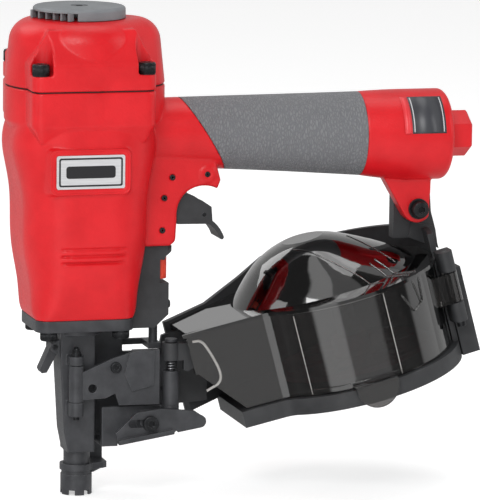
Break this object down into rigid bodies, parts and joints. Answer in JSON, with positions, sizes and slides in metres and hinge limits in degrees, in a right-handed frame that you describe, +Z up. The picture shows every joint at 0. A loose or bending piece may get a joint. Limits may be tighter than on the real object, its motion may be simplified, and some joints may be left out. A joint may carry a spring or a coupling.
{
  "type": "pneumatic nail gun",
  "caption": "Pneumatic coil roofing nailer: red body and cap, gray grip, black nose with safety tip, tilted round canister with a smoked clear cover.",
  "frame": {"origin": "centre of the contact tip's bottom face, on the driver's axis", "axes": "+Z up along the driver, +X back along the handle to the air inlet, the nose door faces -Y"},
  "size_m": [0.2648, 0.1196, 0.267],
  "materials": {
    "red_paint": "satin",
    "black_steel": "satin",
    "bolt_steel": "satin",
    "tool_steel": "satin",
    "sleeve_alloy": "satin",
    "black_plastic": "matte",
    "gray_plastic": "matte",
    "orange_plastic": "matte",
    "red_plastic": "matte",
    "gray_rubber": "matte",
    "black_rubber": "matte",
    "smoked_clear": "gloss"
  },
  "bodies": {
    "tool": {"air_inlet": "red_paint", "body_housing": "red_paint", "bumper": "black_rubber", "canister_hinge_pin": "bolt_steel", "cap_gasket": "black_rubber", "cap_screws": "bolt_steel", "coil_post": "tool_steel", "contact_spring": "tool_steel", "cylinder_sleeve": "sleeve_alloy", "deflector_screw": "bolt_steel", "end_cap": "red_paint", "feed_cylinder": "black_steel", "gauge_screw": "bolt_steel", "handle_grip": "gray_rubber", "head_valve_spring": "tool_steel", "housing_pins": "bolt_steel", "latch_post": "black_steel", "latch_spring": "tool_steel", "linkage_cover": "black_plastic", "linkage_screws": "bolt_steel", "magazine_bolt": "bolt_steel", "magazine_frame": "black_plastic", "magazine_nut": "bolt_steel", "magazine_screws": "bolt_steel", "magazine_washer": "bolt_steel", "nameplate": "sleeve_alloy", "nose_bolts": "bolt_steel", "nose_hinge_pin": "bolt_steel", "nose_housing": "black_steel", "quick_latch_pin": "bolt_steel", "sleeve_seals": "black_rubber", "top_cap": "red_paint", "trigger_valve_body": "sleeve_alloy", "valve_spring": "tool_steel"},
    "deflector": {"deflector": "gray_plastic"},
    "head_valve": {"head_valve": "black_plastic"},
    "piston": {"piston": "sleeve_alloy", "piston_seal": "black_rubber", "driver_blade": "tool_steel"},
    "trigger": {"trigger": "black_plastic", "lever_pin": "bolt_steel"},
    "lever": {"trigger_lever": "tool_steel"},
    "valve_stem": {"valve_stem": "tool_steel"},
    "contact": {"contact_arm": "black_steel", "contact_tip": "black_steel"},
    "depth_wheel": {"depth_wheel": "orange_plastic"},
    "nose_door": {"nose_door": "black_steel", "door_screw": "bolt_steel"},
    "quick_latch": {"quick_latch": "black_steel"},
    "cover": {"canister_cover": "smoked_clear"},
    "cover_latch": {"cover_latch": "black_plastic"},
    "platform": {"nail_platform": "red_plastic"},
    "feed": {"feed_piston": "tool_steel"},
    "gauge": {"shingle_gauge": "black_steel"}
  },
  "joints": [
    {"name": "deflector_turn", "type": "hinge", "parent": "tool", "child": "deflector", "pos_m": [0, 0, 0.264], "axis": [0, 0, 1], "continuous": true},
    {"name": "head_valve_lift", "type": "slide", "parent": "tool", "child": "head_valve", "axis": [0, 0, 1], "range_m": [0, 0.006], "stiffness_N_per_m": 900, "springref_m": -0.012, "deforming": ["head_valve_spring"]},
    {"name": "piston_drive", "type": "slide", "parent": "tool", "child": "piston", "axis": [0, 0, -1], "range_m": [0, 0.0647]},
    {"name": "trigger_pull", "type": "hinge", "parent": "tool", "child": "trigger", "pos_m": [0.0447, 0, 0.163], "axis": [0, -1, 0], "range_deg": [0, 12], "stiffness_Nm_per_rad": 0.4, "springref_deg": -8.59},
    {"name": "lever_tilt", "type": "hinge", "parent": "trigger", "child": "lever", "pos_m": [0.0683, 0, 0.1527], "axis": [0, 1, 0], "range_deg": [0, 8], "stiffness_Nm_per_rad": 0.02, "springref_deg": -5.73},
    {"name": "stem_push", "type": "slide", "parent": "tool", "child": "valve_stem", "axis": [0, 0, 1], "range_m": [0, 0.003], "stiffness_N_per_m": 400, "springref_m": -0.005, "deforming": ["valve_spring"]},
    {"name": "contact_press", "type": "slide", "parent": "tool", "child": "contact", "axis": [0, 0, 1], "range_m": [0, 0.0065], "stiffness_N_per_m": 900, "springref_m": -0.01, "deforming": ["contact_spring"]},
    {"name": "depth_turn", "type": "hinge", "parent": "contact", "child": "depth_wheel", "pos_m": [0.0425, 0, 0.1233], "axis": [0, 0, 1], "continuous": true},
    {"name": "nose_door_open", "type": "hinge", "parent": "tool", "child": "nose_door", "pos_m": [-0.0035, -0.0135, 0.063], "axis": [0, 0, -1], "range_deg": [0, 100]},
    {"name": "quick_latch_lift", "type": "hinge", "parent": "tool", "child": "quick_latch", "pos_m": [-0.0134, 0, 0.082], "axis": [0, 1, 0], "range_deg": [0, 35]},
    {"name": "cover_open", "type": "hinge", "parent": "tool", "child": "cover", "pos_m": [0.20568, -0.024, 0.11143], "axis": [-0.2588, 0, 0.9659], "range_deg": [0, 100]},
    {"name": "cover_latch_press", "type": "slide", "parent": "tool", "child": "cover_latch", "axis": [0, 0, -1], "range_m": [0, 0.004], "stiffness_N_per_m": 300, "springref_m": -0.004, "deforming": ["latch_spring"]},
    {"name": "platform_height", "type": "slide", "parent": "tool", "child": "platform", "axis": [-0.2588, 0, 0.9659], "range_m": [0, 0.02]},
    {"name": "feed_stroke", "type": "slide", "parent": "tool", "child": "feed", "axis": [-1, 0, 0], "range_m": [0, 0.008]},
    {"name": "gauge_slide", "type": "slide", "parent": "tool", "child": "gauge", "axis": [1, 0, 0], "range_m": [0, 0.01]}
  ]
}
